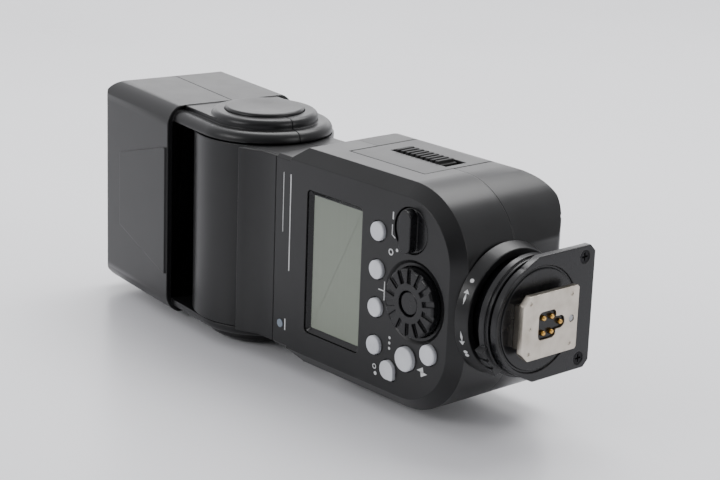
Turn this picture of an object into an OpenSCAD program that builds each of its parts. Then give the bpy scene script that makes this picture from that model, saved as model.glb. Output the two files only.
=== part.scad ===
// Shoe-mount speedlight flash, lying on its left flank with the head leaning a little forward.
// Every module is drawn upright first: X across the body, Y towards the front, Z from the foot to the
// head, with the origin at the centre of the foot plate's outer face. laid() then lays it on its side.

/* [Body] */
// Width of the body across its flanks
body_w = 67; // [65:0.5:78]
// Width of the control panel and of the body's shoulders
panel_w = 60; // [58:0.5:62]
// Depth from the control panel to the front of the body
body_d = 44.5; // [43.5:0.5:54]
// Height of the body from its foot end to the swivel joint
body_h = 79.5; // [78:0.5:96]
// Radius of the body's two big corners at the foot end
corner_r = 22; // [18:0.5:24]
// Radius of the upright edges at the front of the body
front_r = 8; // [5:0.5:8]
// Wall of every moulded casing
wall = 2; // [1.6:0.1:2.3]
// Distance of the body's front and rear parting plane from the swivel axis
part_y = 4; // [2:0.5:5]

/* [Control panel] */
// Distance of the panel's face behind the swivel axis
panel_back = 18; // [17:0.5:20]
// Width of the display window
lcd_w = 44.5; // [40:0.5:46]
// Height of the display window
lcd_h = 24.7; // [20:0.1:26]
// Height of the display's centre above the foot end of the body
lcd_up = 52.6; // [50:0.2:56]
// Diameter of a function button
fn_d = 5.6; // [5:0.1:6.4]
// Distance between neighbouring function buttons
fn_pitch = 11.4; // [10.5:0.1:12]
// Diameter of the pilot button
pilot_d = 7.2; // [6.5:0.1:7.6]
// Diameter of the flash mode button
mode_d = 6; // [5:0.1:6.4]
// Diameter of the select dial
dial_d = 20; // [18:0.5:22]
// Number of ribs on the select dial
dial_ribs = 14; // [8:1:18]
// Diameter of the set button inside the dial
set_d = 7; // [6:0.1:8]
// Length of the power lever's finger bar
lever_l = 13; // [11:0.5:14]
// Travel of a push button
press = 0.8; // [0.5:0.1:1]

/* [Foot] */
// Width of the shoe plate, which slides between the rails of a camera's shoe
plate_w = 18.6; // [18.3:0.05:18.7]
// Length of the shoe plate along the sliding direction
plate_l = 21.8; // [18:0.1:24]
// Thickness of the shoe plate
plate_t = 2; // [1.9:0.05:2.1]
// Width of the neck above the shoe plate
throat_w = 12.4; // [11.5:0.1:12.5]
// Height of that neck, where the shoe's rails go
throat_h = 2.5; // [2.2:0.1:3]
// Width of the foot's base
base_w = 36.4; // [34:0.2:38]
// Diameter of the lock ring
ring_d = 35.4; // [34:0.2:36]
// Diameter of a contact pin
pin_d = 1.5; // [1.2:0.1:1.6]
// Diameter of the lock pin
lock_pin_d = 1.9; // [1.6:0.1:2]

/* [Batteries] */
// Diameter of a cell
cell_d = 14.3; // [14:0.1:14.5]
// Length of a cell with its nub
cell_l = 50.5; // [49.5:0.1:50.5]

/* [Neck and head] */
// Distance from the swivel joint to the tilt axis
neck_h = 28.5; // [28:0.5:34]
// Diameter of the neck's barrel
barrel_d = 44; // [42:0.5:46]
// Width of the neck between the head's two cheeks
neck_w = 58.6; // [56:0.2:60]
// Width of the head at its lens end
head_w = 70; // [69:0.5:78]
// Width of the head where it meets the cheeks
head_root_w = 69; // [68:0.5:72]
// Depth of the head from back to front
head_d = 47; // [46:0.5:48]
// Distance from the tilt axis to the lens end
head_l = 66; // [64:0.5:76]
// Width across the two hub caps
hub_w = 74; // [73:0.5:76]
// Diameter of a hub cap
hub_d = 25; // [22:0.5:26]
// Diameter of the tilt shaft
shaft_d = 8; // [6:0.5:9]
// Angle by which the head leans forward from straight up
lean = 8; // [0:1:20]

/* [Fits] */
// Gap between pieces that move past each other
gap = 0.3; // [0.2:0.05:0.4]
// Radial clearance of a shaft or a slide in its bore
run = 0.06; // [0.02:0.01:0.1]
// Clearance round a piece that is dropped into a seat
seat = 0.1; // [0.05:0.05:0.2]

/* [Hidden] */
$fn = 64;
eps = 0.01;

// Heights of the foot's layers above the plate's outer face
base_z = plate_t + throat_h;
base_t = 2.4;
ring_t = 3.6;
ring_z = base_z + base_t + gap;
waist_h = 3.2;
collar_z = ring_z + ring_t + waist_h;
collar_h = 4;
foot_h = collar_z + collar_h;
// Main heights and depths
seam_z = foot_h + body_h;
tilt_z = seam_z + neck_h;
head_top = tilt_z + head_l;
panel_y = -panel_back;
front_y = body_d - panel_back;
half_rest = max(head_w, hub_w) / 2;
end_r = 3.5;
// How far the leaning head reaches beyond the tilt axis, along the flash and towards the front
head_up = (head_l - end_r) * cos(lean) + (head_d / 2 - end_r) * sin(lean) + end_r;
head_out = (head_d / 2 - end_r) * cos(lean) + (head_l - end_r) * sin(lean) + end_r;
// The body's shoulders, where the flanks step in to the panel's width
shoulder_z = seam_z - 11;
shoulder_top = seam_z - 6.5;
bevel_w = (body_w - panel_w) / 2 + 0.3;
bevel_d = 3.4;
// Batteries: two by two, lying across the body
cell_pitch = cell_d + 0.5;
cell_y = front_y - wall - cell_pitch - 1.2;
cell_z = foot_h + 43;
cell_x0 = -body_w / 2 + wall + 4.5;
// Battery door
door_z0 = cell_z - cell_pitch - 1.2;
door_z1 = cell_z + cell_pitch + 1.2;
door_y0 = cell_y - cell_pitch - 0.7;
knuckle_r = 1.5;
hinge_x = body_w / 2 - front_r - 4;
hinge_y = front_y - knuckle_r;
latch_y = 8;
latch_l = 20;
latch_w = 7.4;
capacitor_l = 37;
// Control panel places, as [x, z]
board_y = panel_y + 7;
switch_h = 0.8;
fn_z = foot_h + 33.2;
fn_places = [for (i = [0:3]) [(1.5 - i) * fn_pitch, fn_z]];
wireless_at = [-22.9, foot_h + 27];
pilot_at = [-17.5, foot_h + 19.8];
mode_at = [-13.6, foot_h + 10.6];
dial_at = [0, foot_h + 17.5];
lever_at = [20.3, foot_h + 20];
lamp_at = [-22.6, seam_z - 3.4];
lamp_r = 1.3;
lcd_z = foot_h + lcd_up;
flange_t = 0.8;
flange_out = 0.9;
// Swivel bearing
bearing_r = 14.4;
bearing_h = 7;
journal_r = 11.2;
// Neck and head
relief_t = 0.7;
relief_w0 = 21;
relief_w1 = 12.5;
neck_z0 = seam_z + gap;
tube_r = 7;
barrel_r = barrel_d / 2;
swing_r = barrel_r + 0.8;
head_z0 = tilt_z + 20.5;
cheek_x = neck_w / 2 + gap;
bush_r = shaft_d / 2 + 3;
lens_edge_r = 7.5;
frame_half_w = head_w / 2 - lens_edge_r - 0.5;
frame_half_d = head_d / 2 - 3.5;
lens_y = 1.6;
lens_half_d = 17;
lens_in = 2.2;
lens_half_w = frame_half_w - 1.6;
xenon_z = head_z0 + 11;
reflector_h = 17;
rod_x = frame_half_w - 2;
rod_y = 10;
rod_r = 1;
screw_y = -9;
screw_r = 1.2;
motor_r = 3;
motor_l = 5;
// The wall over the barrel: the height of its outside at a depth y
function over_barrel(y) = tilt_z + sqrt(pow(swing_r + wall, 2) - y * y);
motor_z = over_barrel(screw_y + motor_r) + seat;
rod_z = over_barrel(rod_y - rod_r);

// Lays the upright flash on its left flank and centres it
module laid() {
    mid_y = (max(front_y, head_out) - barrel_r) / 2;
    translate([(tilt_z + head_up - pin_out) / 2, -mid_y, half_rest]) rotate([0, -90, 0]) children();
}

// The same for what belongs to the head, which is drawn straight and then leans
module head_laid() {
    laid() translate([0, 0, tilt_z]) rotate([-lean, 0, 0]) translate([0, 0, -tilt_z]) children();
}

// Turns a piece drawn on the X-Y plane so that its Z points out of the control panel
module on_panel(at) {
    translate([at[0], panel_y, at[1]]) rotate([90, 0, 0]) children();
}

// A bar along X
module bar_x(r, x0, x1) {
    translate([x0, 0, 0]) rotate([0, 90, 0]) cylinder(r = r, h = x1 - x0);
}

// A box between two corners
module block(a, b) {
    translate(a) cube(b - a);
}

// The body's outer form, i inside its surface: two big corners and a middle at the foot end, the flanks
// above them, then the shoulders; the panel's edge is bevelled all round and the front is rounded
module body_form(i) {
    corner_x = body_w / 2 - corner_r;
    corner_z = foot_h + corner_r;
    intersection() {
        union() {
            for (s = [-1, 1]) translate([s * corner_x, panel_y + i, corner_z]) rotate([-90, 0, 0]) {
                cylinder(r1 = corner_r - bevel_w - 0.6 * i, r2 = corner_r - i, h = bevel_d, $fn = 96);
                translate([0, 0, bevel_d])
                    cylinder(r = corner_r - i, h = body_d - bevel_d - 2 * i, $fn = 96);
            }
            translate([-corner_x, 0, 0]) rotate([90, 0, 90]) linear_extrude(2 * corner_x)
                polygon([[panel_y + i, corner_z], [panel_y + i, foot_h + bevel_w + 0.6 * i],
                    [panel_y + i + bevel_d, foot_h + i], [front_y - i, foot_h + i],
                    [front_y - i, corner_z]]);
            translate([0, 0, corner_z]) linear_extrude(shoulder_z - corner_z)
                bevelled_plan(body_w / 2 - i, bevel_w - 0.4 * i, bevel_d, i);
            intersection() {
                rise = shoulder_top - shoulder_z;
                translate([0, front_y, 0]) rotate([90, 0, 0]) linear_extrude(body_d)
                    polygon([[-body_w / 2 + i, shoulder_z], [body_w / 2 - i, shoulder_z],
                        [panel_w / 2 - i, shoulder_z + rise], [-panel_w / 2 + i, shoulder_z + rise]]);
                translate([0, 0, shoulder_z]) linear_extrude(rise)
                    bevelled_plan(body_w / 2 - i, bevel_w, bevel_d, i);
            }
            translate([0, 0, corner_z]) linear_extrude(seam_z - i - corner_z)
                bevelled_plan(panel_w / 2 - i, 1, 1, i);
        }
        across_at(body_w, 0) front_profile(i);
        translate([0, 0, foot_h]) linear_extrude(body_h) front_plan(i);
    }
}

// A cross-section with its two corners at the panel cut off
module bevelled_plan(half_w, cut_x, cut_y, i) {
    polygon([[-half_w + cut_x, panel_y + i], [half_w - cut_x, panel_y + i], [half_w, panel_y + i + cut_y],
        [half_w, front_y - i], [-half_w, front_y - i], [-half_w, panel_y + i + cut_y]]);
}

// Rounds the front's upright edges, on the body's width at the flanks
module front_plan(i) {
    x = body_w / 2 - front_r;
    y = front_y - front_r;
    translate([-body_w / 2 + i, panel_y - 1]) square([body_w - 2 * i, y - panel_y + 1]);
    translate([-x, y - 1]) square([2 * x, front_r + 1 - i]);
    for (s = [-1, 1]) translate([s * x, y]) circle(r = front_r - i);
}

// Rounds the front's lower edge, in side view
module front_profile(i) {
    y = front_y - front_r;
    translate([panel_y - 1, foot_h]) square([y - panel_y + 1, body_h]);
    translate([y - 1, foot_h + front_r]) square([front_r + 1 - i, body_h - front_r]);
    translate([y, foot_h + front_r]) circle(r = front_r - i);
}

// Everything behind or in front of the body's parting plane
module half_space(front) {
    s = 200;
    translate([-s / 2, front ? part_y : part_y - s, -5]) cube([s, s, s]);
}

// The room that the battery door and its cells take out of the casing
module door_room(c) {
    translate([0, 0, door_z0 - c]) linear_extrude(door_z1 - door_z0 + 2 * c) difference() {
        translate([hinge_x, door_y0 - c]) square([body_w, body_d + 20]);
        translate([hinge_x - 1, hinge_y - 30]) square([8, 24]);
    }
    translate([hinge_x, hinge_y, door_z0 - c]) cylinder(r = knuckle_r + c, h = door_z1 - door_z0 + 2 * c);
}

// Openings through the control panel
module panel_holes() {
    on_panel([0, lcd_z]) translate([0, 0, -wall - 1]) linear_extrude(wall + 2)
        square_round(lcd_w, -lcd_h / 2, lcd_h / 2, 1.6);
    for (p = fn_places) panel_hole(p, fn_d / 2 + gap);
    on_panel(wireless_at) translate([0, 0, -wall - 2]) linear_extrude(wall + 4)
        drop_outline(fn_d / 2 + gap);
    panel_hole(pilot_at, pilot_d / 2 + gap);
    panel_hole(mode_at, mode_d / 2 + gap);
    panel_hole(dial_at, dial_d / 2 + gap);
    panel_hole(lever_at, lever_l / 2 + gap);
    panel_hole(lamp_at, lamp_r);
    on_panel(dial_at) translate([0, 0, -0.7]) cylinder(r1 = dial_d / 2 + 1.2, r2 = dial_d / 2 + 2.6, h = 1);
}

module panel_hole(at, r) {
    on_panel(at) translate([0, 0, -wall - 2]) cylinder(r = r, h = wall + 4);
}

// The bore in the top of the body for the swivel bearing, and the hole above the foot
module axis_holes() {
    translate([0, 0, seam_z - wall - 1]) cylinder(r = bearing_r, h = wall + 2);
    translate([0, 0, foot_h - 1]) cylinder(r = 7, h = wall + 2);
}

module rear_cover() {
    laid() color([0.09, 0.09, 0.095]) difference() {
        body_form(0);
        body_form(wall);
        half_space(true);
        panel_holes();
        axis_holes();
        door_room(gap);
    }
}

module front_cover() {
    laid() color([0.08, 0.08, 0.085]) difference() {
        union() {
            difference() {
                body_form(0);
                body_form(wall);
                door_room(gap);
            }
            hinge_lugs();
        }
        half_space(false);
        axis_holes();
        translate([hinge_x, hinge_y, 0]) cylinder(r = door_pin_r, h = seam_z);
        block([-af_w / 2, front_y - wall - 1, af_z], [af_w / 2, front_y + 1, af_z + af_h]);
        block([-body_w / 2 - 1, socket_y - socket_w / 2 - gap, socket_z0 - gap],
            [-body_w / 2 + wall + 1, socket_y + socket_w / 2 + gap, socket_z1 + gap]);
        for (p = screw_places) translate([p[0], front_y + 1, p[1]]) rotate([90, 0, 0])
            cylinder(r = case_screw_r, h = wall + 2);
    }
}

// Values of the front cover's openings
af_w = 26;
af_h = 15;
af_z = foot_h + 9;
socket_w = 9;
socket_y = 12;
socket_z0 = cell_z - 4;
socket_z1 = cell_z + 20;
socket_depth = 1.6;
sync_z = socket_z0 + 6;
sync_r = 3.2;
case_screw_r = 2.2;
screw_places = [[-20, seam_z - 8], [20, seam_z - 8], [-21, foot_h + 12], [21, foot_h + 12]];
door_pin_r = 0.8;

// Lugs above and below the door that hold its hinge pin
module hinge_lugs() {
    for (z = [door_z0 - gap - 2.4, door_z1 + gap])
        translate([hinge_x, hinge_y - 1, z]) translate([-3, -2, 0]) cube([6, 4 - 0.6, 2.4]);
}

module battery_tray() {
    laid() color([0.16, 0.16, 0.17]) difference() {
        block([cell_x0 - 0.6, cell_y - cell_pitch - 0.3, cell_z - cell_pitch - 0.3],
            [hinge_x - 3, cell_y + cell_pitch + 0.3, cell_z + cell_pitch + 0.3]);
        each_cell() bar_x(cell_d / 2 + seat, cell_x0 - 2, body_w);
    }
}

module each_cell() {
    for (s = [-0.5, 0.5], t = [-0.5, 0.5])
        translate([0, cell_y + s * cell_pitch, cell_z + t * cell_pitch]) children();
}

module battery_cells() {
    nub = 1.3;
    laid() color([0.75, 0.6, 0.2]) each_cell() {
        bar_x(cell_d / 2, cell_x0, cell_x0 + cell_l - nub);
        bar_x(2.6, cell_x0 + cell_l - nub - eps, cell_x0 + cell_l);
    }
}

module tray_contacts() {
    laid() color([0.8, 0.8, 0.78]) each_cell() {
        translate([cell_x0 - 2.6, -5, -5]) cube([0.5, 10, 10]);
        bar_x(4, cell_x0 - 2.1, cell_x0 - 1.3);
        bar_x(2.4, cell_x0 - 1.3, cell_x0);
    }
}

module display_window() {
    m = 1.2;
    laid() color([0.62, 0.66, 0.6]) block([-lcd_w / 2 - m, panel_y + wall, lcd_z - lcd_h / 2 - m],
        [lcd_w / 2 + m, panel_y + wall + 1, lcd_z + lcd_h / 2 + m]);
}

module display_module() {
    laid() color([0.3, 0.4, 0.3]) block([-lcd_w / 2 - 0.6, panel_y + wall + 1, lcd_z - lcd_h / 2 - 0.6],
        [lcd_w / 2 + 0.6, board_y, lcd_z + lcd_h / 2 + 0.6]);
}

module link_lamp() {
    laid() color([0.55, 0.55, 0.55]) on_panel(lamp_at) {
        translate([0, 0, -wall - 1]) cylinder(r = lamp_r, h = wall + 1.2);
    }
}

// The board follows the casing's outline, well inside it
module main_board() {
    inset = 5;
    t = 1.6;
    x = body_w / 2 - inset;
    laid() color([0.05, 0.3, 0.15]) translate([0, board_y + t, 0]) rotate([90, 0, 0]) linear_extrude(t) {
        for (s = [-1, 1]) translate([s * (body_w / 2 - corner_r), foot_h + corner_r])
            circle(r = corner_r - inset);
        translate([-x, foot_h + corner_r]) square([2 * x, shoulder_z - 4 - foot_h - corner_r]);
        translate([-body_w / 2 + corner_r, foot_h + inset]) square([body_w - 2 * corner_r, corner_r]);
    }
}

module tact_switches() {
    sw = 3.6;
    laid() color([0.2, 0.2, 0.2])
        for (p = concat(fn_places, [wireless_at, pilot_at, mode_at]))
            translate([p[0] - sw / 2, board_y - switch_h, p[1] - sw / 2]) cube([sw, switch_h, sw]);
}

module dial_encoder() {
    laid() color([0.3, 0.3, 0.32]) translate([dial_at[0], board_y, dial_at[1]]) rotate([90, 0, 0])
        difference() {
            cylinder(r = dial_d / 2 - 1, h = encoder_h);
            translate([0, 0, switch_h]) cylinder(r = set_d / 2 + 1, h = 20);
        }
}

encoder_h = board_y - (panel_y + wall + gap + flange_t + gap);

// The flash inverter's board above the cells, with its transformer
module inverter_board() {
    laid() color([0.05, 0.25, 0.2]) {
        block([-25, cell_y - cell_pitch, inverter_z], [hinge_x - 4, front_y - wall - 1, inverter_z + 1.6]);
        block([-25, 0, inverter_z + 1.6 - eps], [-15.5, 15, inverter_z + 11]);
    }
}

inverter_z = cell_z + cell_pitch + 1;

module main_capacitor() {
    r = 8.6;
    laid() color([0.1, 0.15, 0.4]) translate([0, front_y - wall - r - 2.5, door_z0 - r - 4])
        bar_x(r, -capacitor_l / 2, capacitor_l / 2);
}

module swivel_bearing() {
    laid() color([0.75, 0.75, 0.72]) difference() {
        translate([0, 0, seam_z - bearing_h]) cylinder(r = bearing_r, h = bearing_h - 0.2);
        translate([0, 0, seam_z - bearing_h - 1]) cylinder(r = journal_r + run, h = bearing_h + 2);
    }
}

module af_window() {
    laid() color([0.35, 0.02, 0.03]) translate([-af_w / 2, front_y - wall, af_z])
        cube([af_w, wall - 0.3, af_h]);
}

// Sync terminal: a threaded sleeve round a socket
module sync_socket() {
    x = -body_w / 2 + wall;
    laid() color([0.8, 0.8, 0.8]) translate([0, socket_y, sync_z]) difference() {
        bar_x(sync_r, x, x + socket_depth);
        bar_x(sync_r / 2, x - 1, x + socket_depth - 0.6);
    }
}

// The external power socket, on the plate that closes the opening behind the rubber cover
module power_socket() {
    x = -body_w / 2 + wall;
    laid() color([0.1, 0.1, 0.1]) difference() {
        block([x, socket_y - socket_w / 2 - 2, socket_z0 - 2],
            [x + socket_depth, socket_y + socket_w / 2 + 2, socket_z1 + 2]);
        translate([0, socket_y, sync_z]) bar_x(sync_r, x - 1, x + 5);
        for (k = [-1, 0, 1]) translate([0, socket_y, socket_z0 + 17 + 2.8 * k]) bar_x(0.8, x - 1, x + 1);
    }
}

module case_screws() {
    laid() color([0.2, 0.2, 0.2]) for (p = screw_places)
        translate([p[0], front_y - 0.4, p[1]]) rotate([90, 0, 0])
        difference() {
            cylinder(r = case_screw_r, h = wall + 4);
            translate([-1.3, -0.25, -1]) cube([2.6, 0.5, 1.6]);
            translate([-0.25, -1.3, -1]) cube([0.5, 2.6, 1.6]);
        }
}

// The base: square towards the front, round behind, on a round pedestal that carries the lock ring
module foot_base() {
    r = ring_d / 2 - 1.1;
    laid() color([0.06, 0.06, 0.065]) difference() {
        union() {
            translate([0, 0, base_z]) linear_extrude(base_t) {
                circle(r = r);
                for (s = [0, 1]) mirror([s, 0]) polygon([[0, -6], [r - 1, -6], [base_w / 2, -1],
                    [base_w / 2, base_front - 2], [base_w / 2 - 2, base_front], [0, base_front]]);
            }
            translate([0, 0, base_z + base_t]) cylinder(r = pedestal_r, h = foot_h - base_z - base_t);
            translate([0, 0, ring_z + ring_t + gap]) cylinder(r = pedestal_r + 1, h = waist_h + 1);
        }
        translate([0, 0, base_z - 1]) difference() {
            cylinder(r = groove_r + 0.4, h = 1.6);
            translate([0, 0, -1]) cylinder(r = groove_r - 0.4, h = 4);
        }
        foot_bores();
        for (s = [-1, 1]) translate([s * foot_screw_x, foot_screw_y, base_z - 1])
            cylinder(r = foot_screw_r, h = 2);
    }
}

base_front = 21.7;
pedestal_r = 13.6;
groove_r = 15;
foot_screw_x = 15;
foot_screw_y = 17.4;
foot_screw_r = 1.9;
lock_pin_y = 8.4;
// The five contacts: two pairs, and a single one towards the front
pin_x = 2.15;
pin_rows = [-2.8, 0.4, 3.8];
pin_places = [[0, pin_rows[2]], [-pin_x, pin_rows[0]], [pin_x, pin_rows[0]], [-pin_x, pin_rows[1]],
    [pin_x, pin_rows[1]]];
pin_out = 0.6;

// Bores along the foot for the contact block and the lock pin
module foot_bores() {
    translate([0, 0, -1]) linear_extrude(base_z + base_t + 2) well_outline(0);
    translate([0, lock_pin_y, -1]) cylinder(r = lock_pin_d / 2 + run, h = foot_h + 2);
}

// The well in the middle of the plate that holds the contact block
module well_outline(i) {
    square_round(8 - 2 * i, pin_rows[0] - 1.9 + i, pin_rows[1] + 1.7 - i, 1.4 - i);
    translate([0, pin_rows[2]]) circle(r = 1.8 - i);
    translate([-1.8 + i, pin_rows[1]]) square([3.6 - 2 * i, pin_rows[2] - pin_rows[1]]);
}

module foot_plate() {
    c = 2.4;
    laid() color([0.75, 0.73, 0.7]) difference() {
        union() {
            linear_extrude(plate_t) for (s = [0, 1]) mirror([s, 0]) polygon([[0, -plate_l / 2],
                [plate_w / 2 - c, -plate_l / 2], [plate_w / 2, -plate_l / 2 + c],
                [plate_w / 2, plate_l / 2 - 0.6],
                [plate_w / 2 - 0.6, plate_l / 2], [0, plate_l / 2]]);
            translate([-throat_w / 2, 1 - plate_l / 2, 0]) cube([throat_w, plate_l - 1.5, base_z]);
        }
        foot_bores();
        for (s = [-1, 1], t = [-1, 1]) translate([s * 7.2, t * 8.2, -1]) cylinder(r = 0.5, h = 1.4);
        translate([0, -8.1, -1]) cylinder(r = 0.4, h = 1.3);
    }
}

module contact_block() {
    laid() color([0.05, 0.05, 0.05]) difference() {
        translate([0, 0, 0.7]) linear_extrude(base_z + base_t) well_outline(seat);
        for (p = pin_places) translate([p[0], p[1], 0]) cylinder(r = pin_d / 2 + run, h = 20);
        for (p = pin_places) translate([p[0], p[1], pin_flange_z - pin_gap])
            cylinder(r = pin_d / 2 + 0.45, h = 20);
    }
}

pin_flange_z = 4;
pin_gap = 0.15;

module contact_pins() {
    laid() color([0.85, 0.7, 0.3]) for (p = pin_places) translate([p[0], p[1], 0]) {
        translate([0, 0, -pin_out + pin_d / 2]) {
            cylinder(r = pin_d / 2, h = pin_flange_z + 1.6 + pin_out - pin_d / 2);
            sphere(r = pin_d / 2);
        }
        translate([0, 0, pin_flange_z]) cylinder(r = pin_d / 2 + 0.3, h = 0.8);
    }
}

module foot_screws() {
    laid() color([0.15, 0.15, 0.15]) for (s = [-1, 1])
        translate([s * foot_screw_x, foot_screw_y, base_z + 0.2])
        difference() {
            cylinder(r = foot_screw_r, h = 0.8);
            translate([-1.2, -0.25, -1]) cube([2.4, 0.5, 1.5]);
            translate([-0.25, -1.2, -1]) cube([0.5, 2.4, 1.5]);
        }
}

// The collar between the body and the lock ring
module foot_collar() {
    laid() color([0.07, 0.07, 0.075]) difference() {
        translate([0, 0, collar_z])
            cylinder(r1 = ring_d / 2 + 0.3, r2 = ring_d / 2 + 1.6, h = collar_h, $fn = 96);
        translate([0, 0, collar_z - 1]) cylinder(r = pedestal_r, h = collar_h + 2);
        translate([0, 0, collar_z - 1]) cylinder(r = pedestal_r + 2.4, h = 2.8);
    }
}

// The lock ring turns on the pedestal, and its ribbed grip stands out behind
module lock_ring() {
    grip_a = -125;
    laid() color([0.12, 0.11, 0.1]) difference() {
        union() {
            translate([0, 0, ring_z]) cylinder(r = ring_d / 2 - 0.6, h = ring_t);
            translate([0, 0, ring_z + 1]) cylinder(r = ring_d / 2, h = ring_t - 1.6);
            rotate([0, 0, grip_a]) translate([ring_d / 2 - 2.4, -5, ring_z + 0.3])
                cube([3.6, 10, ring_t - 0.6]);
        }
        translate([0, 0, ring_z - 1]) cylinder(r = pedestal_r + run, h = ring_t + 2);
        for (k = [-1.6, 1.6]) rotate([0, 0, grip_a]) translate([ring_d / 2 + 0.5, k - 0.5, ring_z - 1])
            cube([2, 1, ring_t + 2]);
    }
}

module lock_pin() {
    laid() color([0.7, 0.7, 0.7]) translate([0, lock_pin_y, 0.2])
        cylinder(r = lock_pin_d / 2, h = foot_h - 2);
}

// The door: a piece of the casing with a knuckle at the front and a thick back that carries the contacts
module battery_door() {
    laid() color([0.085, 0.085, 0.09]) difference() {
        union() {
            intersection() {
                difference() {
                    body_form(0);
                    body_form(wall);
                }
                door_room(0);
                translate([hinge_x, -body_d, 0]) cube([body_w, 2 * body_d, seam_z]);
            }
            translate([hinge_x, hinge_y, door_z0]) cylinder(r = knuckle_r, h = door_z1 - door_z0);
            block([door_back_x, cell_y - cell_pitch + 1, cell_z - cell_pitch + 1],
                [body_w / 2 - wall + eps, front_y - front_r, cell_z + cell_pitch - 1]);
        }
        translate([hinge_x, hinge_y, door_z0 - 1])
            cylinder(r = door_pin_r + run, h = door_z1 - door_z0 + 2);
        translate([body_w / 2 - 1.5, latch_y - latch_w / 2 - gap,
            cell_z - latch_l / 2 - latch_travel - gap])
            cube([5, latch_w + 2 * gap, latch_l + latch_travel + 2 * gap]);
    }
}

door_back_x = cell_x0 + cell_l + 1.1;
latch_travel = 3;

module door_pin() {
    laid() color([0.7, 0.7, 0.7]) translate([hinge_x, hinge_y, door_z0 - gap - 2.4])
        cylinder(r = door_pin_r, h = door_z1 - door_z0 + 2 * gap + 4.8);
}

module door_contacts() {
    laid() color([0.8, 0.8, 0.78]) for (s = [-0.5, 0.5]) translate([0, cell_y + s * cell_pitch, cell_z]) {
        block([door_back_x - 0.5, -3, -cell_pitch / 2 - 3], [door_back_x, 3, cell_pitch / 2 + 3]);
        for (t = [-0.5, 0.5]) translate([0, 0, t * cell_pitch])
            bar_x(1.8, door_back_x - 0.8, door_back_x - 0.5);
    }
}

// Ribbed slider in the door
module door_latch() {
    x = body_w / 2 - 1.5 + 0.1;
    laid() color([0.05, 0.05, 0.05]) {
        translate([x, latch_y - latch_w / 2, cell_z - latch_l / 2]) cube([0.9, latch_w, latch_l]);
        for (k = [0:8]) translate([0, 0, cell_z + (k - 4) * 2.1])
            block([x, latch_y - latch_w / 2 + 0.4, -0.55],
                [body_w / 2 + 0.5, latch_y + latch_w / 2 - 0.4, 0.55]);
    }
}

// Rubber flap over the two sockets, hinged along its front edge
module socket_cover() {
    x = -body_w / 2;
    laid() color([0.1, 0.1, 0.1]) {
        block([x, socket_y - socket_w / 2, socket_z0], [x + 1.4, socket_y + socket_w / 2 - 0.7, socket_z1]);
        translate([x + 0.7, socket_y + socket_w / 2 - 0.7, socket_z0])
            cylinder(r = 0.7, h = socket_z1 - socket_z0);
    }
}

// A round push button with a flange behind the panel and a stem towards its switch
module push_button(at, d, proud) {
    stem_l = (board_y - switch_h - press - gap) - panel_y;
    laid() color([0.72, 0.72, 0.73]) on_panel(at) {
        rotate_extrude() polygon([[0, -wall], [d / 2, -wall], [d / 2, proud - 0.35],
            [d / 2 - 0.15, proud - 0.12], [d / 2 - 0.5, proud], [0, proud + 0.12]]);
        translate([0, 0, -wall - gap - flange_t]) cylinder(r = d / 2 + flange_out, h = flange_t);
        translate([0, 0, -wall - gap - eps]) cylinder(r = d / 2, h = gap + 2 * eps);
        translate([0, 0, -stem_l]) cylinder(r = 1.4, h = stem_l - wall - gap);
    }
}

module function_button_1() {
    push_button(fn_places[0], fn_d, 1);
}

module function_button_2() {
    push_button(fn_places[1], fn_d, 1);
}

module function_button_3() {
    push_button(fn_places[2], fn_d, 1);
}

module function_button_4() {
    push_button(fn_places[3], fn_d, 1);
}

// The wireless button is round, with one square corner towards the body's rounded edge
module wireless_button() {
    stem_l = (board_y - switch_h - press - gap) - panel_y;
    laid() color([0.72, 0.72, 0.73]) on_panel(wireless_at) {
        translate([0, 0, -wall - gap - eps]) linear_extrude(wall + gap + 0.9) drop_outline(fn_d / 2);
        translate([0, 0, -wall - gap - flange_t]) cylinder(r = fn_d / 2 + flange_out, h = flange_t);
        translate([0, 0, -stem_l]) cylinder(r = 1.4, h = stem_l - wall - gap);
    }
}

module drop_outline(r) {
    c = 0.9;
    circle(r = r);
    translate([-r, c - r]) square([r, r - c]);
    translate([c - r, -r]) square([r - c, r]);
    translate([c - r, c - r]) circle(r = c);
}

module pilot_button() {
    push_button(pilot_at, pilot_d, 1.3);
}

module mode_button() {
    push_button(mode_at, mode_d, 1.1);
}

module select_dial() {
    r = dial_d / 2;
    h = 2.4;
    laid() color([0.13, 0.13, 0.13]) on_panel(dial_at) difference() {
        union() {
            translate([0, 0, -wall - gap - flange_t]) cylinder(r = r + flange_out, h = flange_t);
            translate([0, 0, -wall - gap - eps]) cylinder(r = r, h = wall + gap + h - 0.4);
            translate([0, 0, h - 0.42]) cylinder(r1 = r, r2 = r - 0.6, h = 0.42);
        }
        translate([0, 0, -10]) cylinder(r = set_d / 2 + gap, h = 20);
        for (k = [0:dial_ribs - 1]) rotate([0, 0, 360 * k / dial_ribs]) translate([r - 4.2, -0.8, h - 0.8])
            cube([6, 1.6, 2]);
    }
}

module set_button() {
    stem_l = (board_y - switch_h - press - gap) - panel_y;
    laid() color([0.12, 0.12, 0.12]) on_panel(dial_at) {
        translate([0, 0, -stem_l]) cylinder(r = set_d / 2, h = stem_l + 1.7);
        translate([0, 0, 1.7]) cylinder(r1 = set_d / 2, r2 = set_d / 2 - 0.4, h = 0.3);
    }
}

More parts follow.
